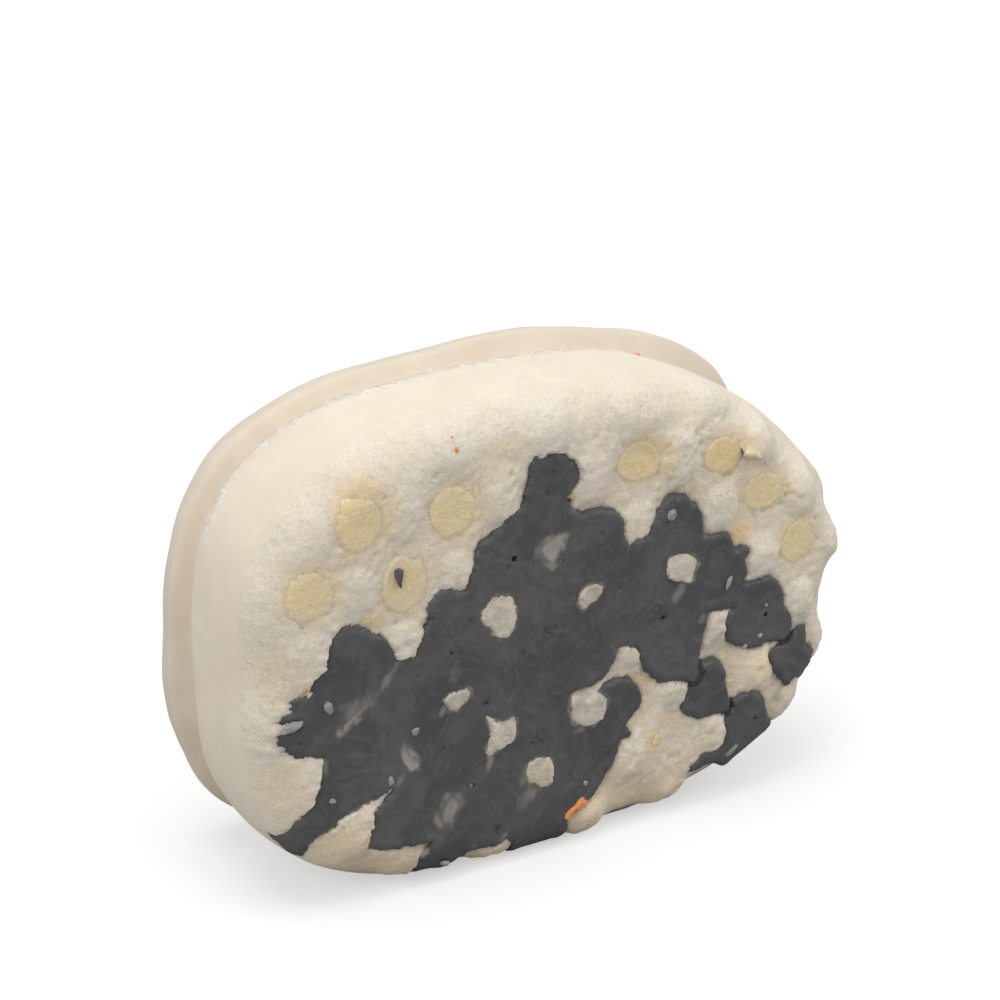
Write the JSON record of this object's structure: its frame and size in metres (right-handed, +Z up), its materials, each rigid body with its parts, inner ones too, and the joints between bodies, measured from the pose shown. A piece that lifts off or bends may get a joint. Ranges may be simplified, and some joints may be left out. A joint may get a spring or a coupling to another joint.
{
  "type": "soap sponge",
  "caption": "Moulded foam bath sponge with a nubbed face, a grip groove round it, charcoal soap poured over the face and cream soap held inside.",
  "frame": {"origin": "on the floor, under the middle of the sponge's bounding box, with the sponge standing on its long edge", "axes": "+X along the sponge's length, +Y from the nubbed face towards the back, +Z up"},
  "size_m": [0.1274, 0.0454, 0.0898],
  "materials": {
    "cream_foam": "matte",
    "cream_soap": "satin",
    "charcoal_soap": "satin",
    "clear_soap": "gloss",
    "pale_soap": "satin",
    "orange_soap": "satin"
  },
  "bodies": {
    "root": {"sponge_foam": "cream_foam", "cream_soap_core": "cream_soap", "charcoal_soap_pour": "charcoal_soap", "charcoal_soap_island_1": "charcoal_soap", "charcoal_soap_island_2": "charcoal_soap", "charcoal_soap_island_3": "charcoal_soap", "charcoal_soap_speck": "charcoal_soap", "soap_pool_1": "clear_soap", "soap_pool_2": "clear_soap", "soap_pool_3": "clear_soap", "soap_pool_4": "clear_soap", "soap_pool_5": "clear_soap", "soap_pool_6": "clear_soap", "soap_pool_7": "clear_soap", "soap_pool_8": "clear_soap", "soap_pool_9": "clear_soap", "orange_fleck": "orange_soap", "soap_crumb_1": "pale_soap", "soap_crumb_2": "pale_soap", "soap_crumb_3": "pale_soap", "soap_crumb_4": "pale_soap", "soap_crumb_large": "pale_soap"}
  },
  "joints": []
}
